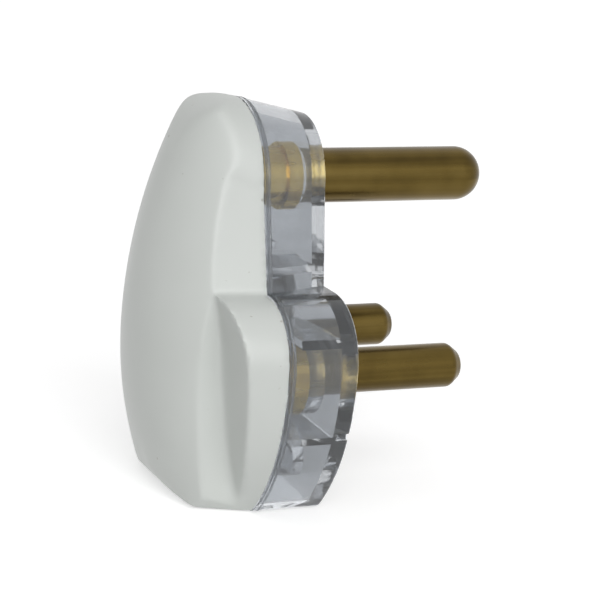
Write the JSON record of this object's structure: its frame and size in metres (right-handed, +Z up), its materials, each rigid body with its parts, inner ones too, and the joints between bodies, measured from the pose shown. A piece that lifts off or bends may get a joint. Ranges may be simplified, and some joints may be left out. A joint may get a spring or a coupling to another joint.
{
  "type": "plug top",
  "caption": "Rewirable round-pin mains plug top with a clear base, an opaque cover, screw terminals and a cord clamp, for a cord from below.",
  "frame": {"origin": "on the pin face, midway between the two power pins", "axes": "+X out of the pin face along the pins, +Z up towards the earth pin with the cord entry down, +Y to the right for someone who looks at the cover's back"},
  "size_m": [0.0589, 0.053, 0.0628],
  "materials": {
    "clear_base": "clear moulded polycarbonate, polished",
    "white_cover": "opaque white moulded plastic, semi-gloss",
    "brass": "turned brass, lightly tarnished",
    "plated_steel": "zinc plated",
    "clamp_plastic": "moulded, fine grain"
  },
  "bodies": {
    "root": {"base": "clear_base", "cover": "white_cover", "earth_pin": "brass", "live_pin": "brass", "neutral_pin": "brass", "earth_terminal_screw": "plated_steel", "live_terminal_screw": "plated_steel", "neutral_terminal_screw": "plated_steel", "cover_screw": "plated_steel", "cover_nut": "plated_steel", "cord_clamp": "clamp_plastic", "clamp_screw_near": "plated_steel", "clamp_screw_far": "plated_steel"}
  },
  "joints": []
}
